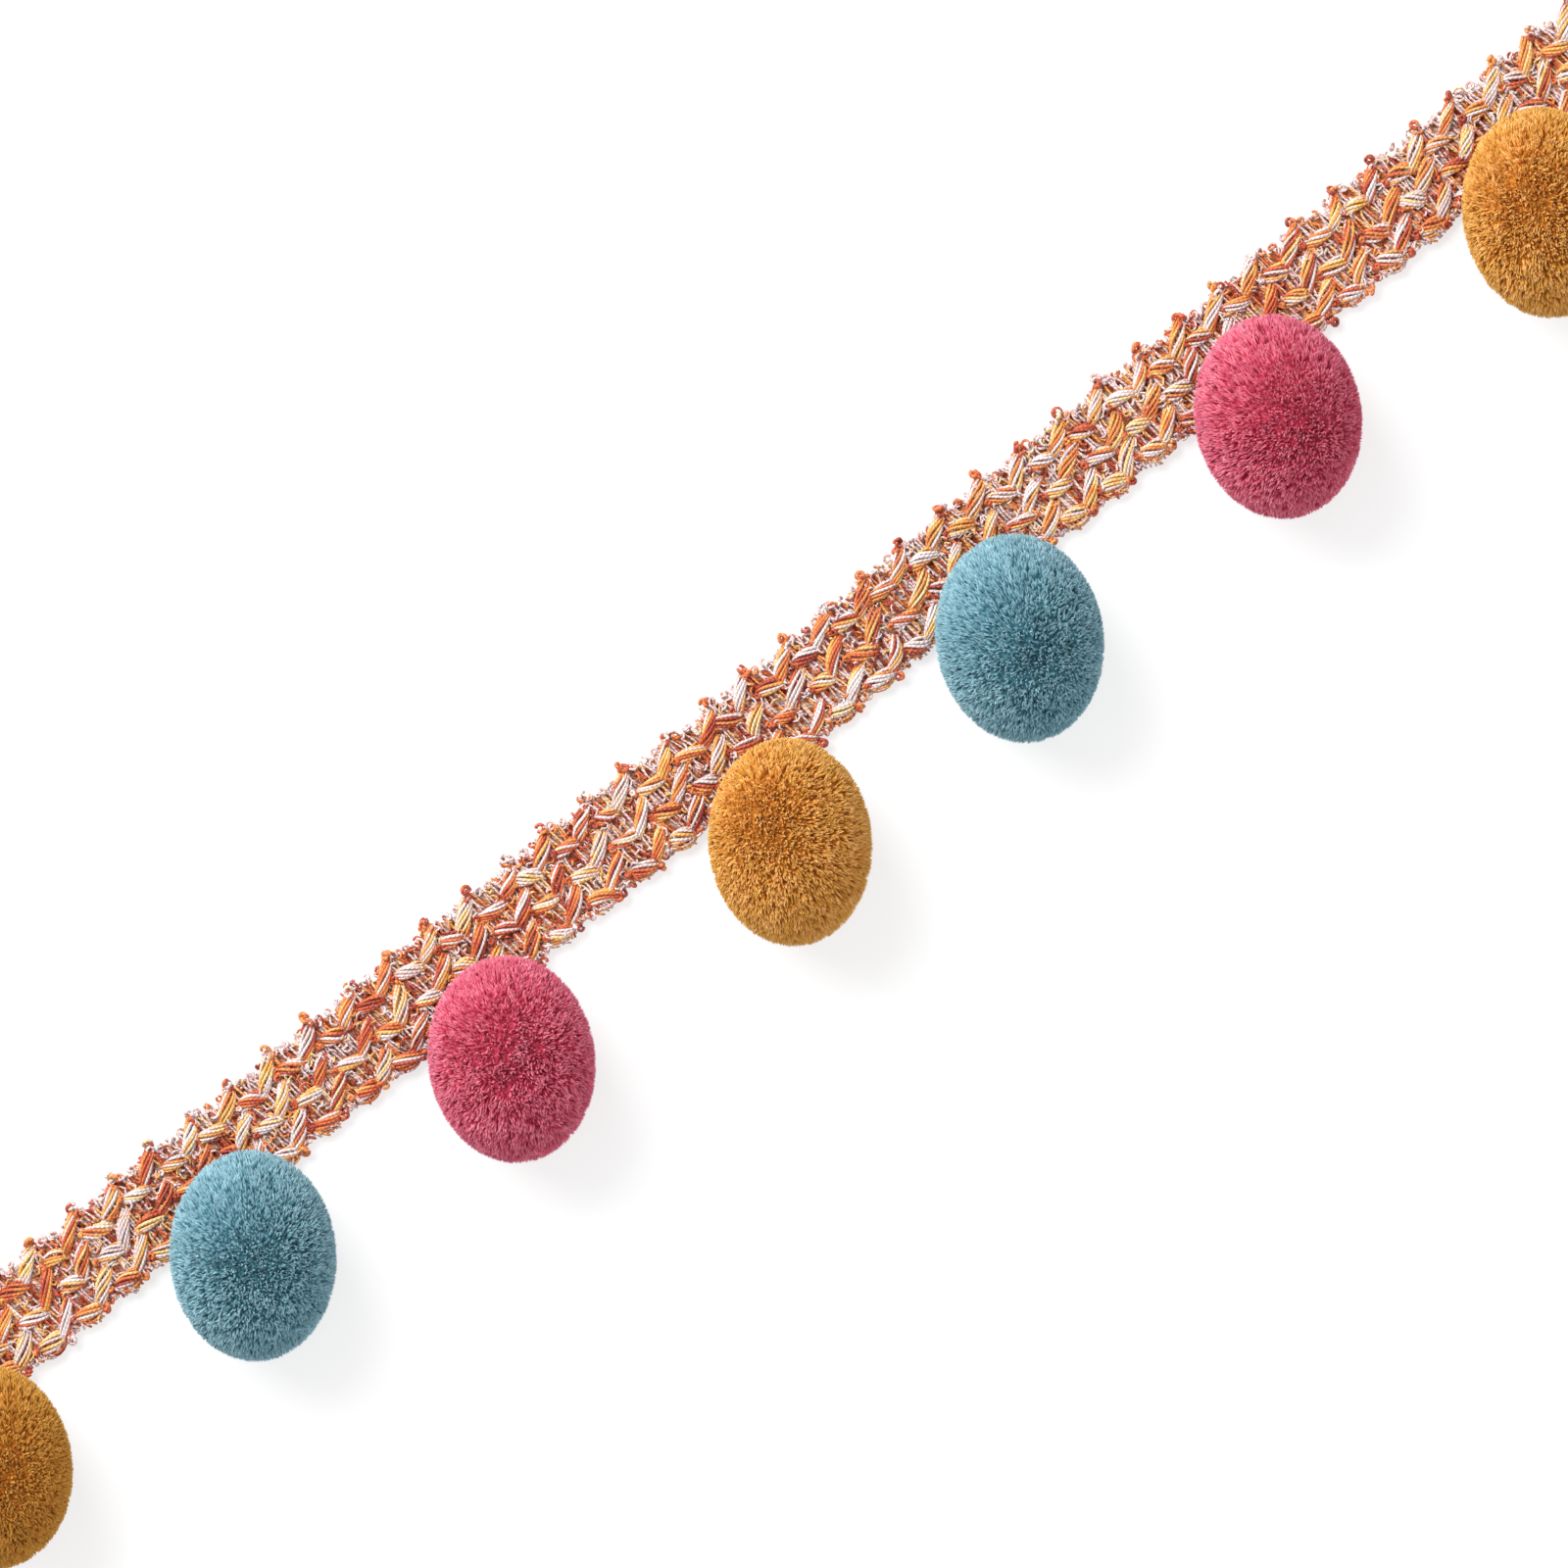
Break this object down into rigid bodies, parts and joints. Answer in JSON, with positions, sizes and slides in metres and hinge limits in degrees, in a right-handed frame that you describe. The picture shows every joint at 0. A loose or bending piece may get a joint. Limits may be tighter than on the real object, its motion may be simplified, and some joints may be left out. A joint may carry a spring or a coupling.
{
  "type": "pompom fringe trim",
  "caption": "Flat knotted yarn tape with small looped edges and round cut-pile pompoms tied along its lower edge, laid flat, face up.",
  "frame": {"origin": "middle of the tape's flat back, halfway between its cut ends", "axes": "+X along the tape, +Y across it to the edge without pompoms, +Z out of its face, up from the surface it lies on"},
  "size_m": [0.311, 0.0359, 0.021],
  "materials": {
    "braid_yarn": "multi-ply space-dyed yarn in orange, golden yellow and pale lilac-white, slightly glossy",
    "pompom_gold": "dense cut pile, mustard gold, matt with a soft pale bloom at the rim",
    "pompom_blue": "dense cut pile, dusty light blue, matt with a soft pale bloom at the rim",
    "pompom_pink": "dense cut pile, raspberry pink, matt with a soft pale bloom at the rim"
  },
  "bodies": {
    "root": {"tape": "braid_yarn", "pompom_1_gold": "pompom_gold", "pompom_2_blue": "pompom_blue", "pompom_3_pink": "pompom_pink", "pompom_4_gold": "pompom_gold", "pompom_5_blue": "pompom_blue", "pompom_6_pink": "pompom_pink", "pompom_7_gold": "pompom_gold"}
  },
  "joints": []
}
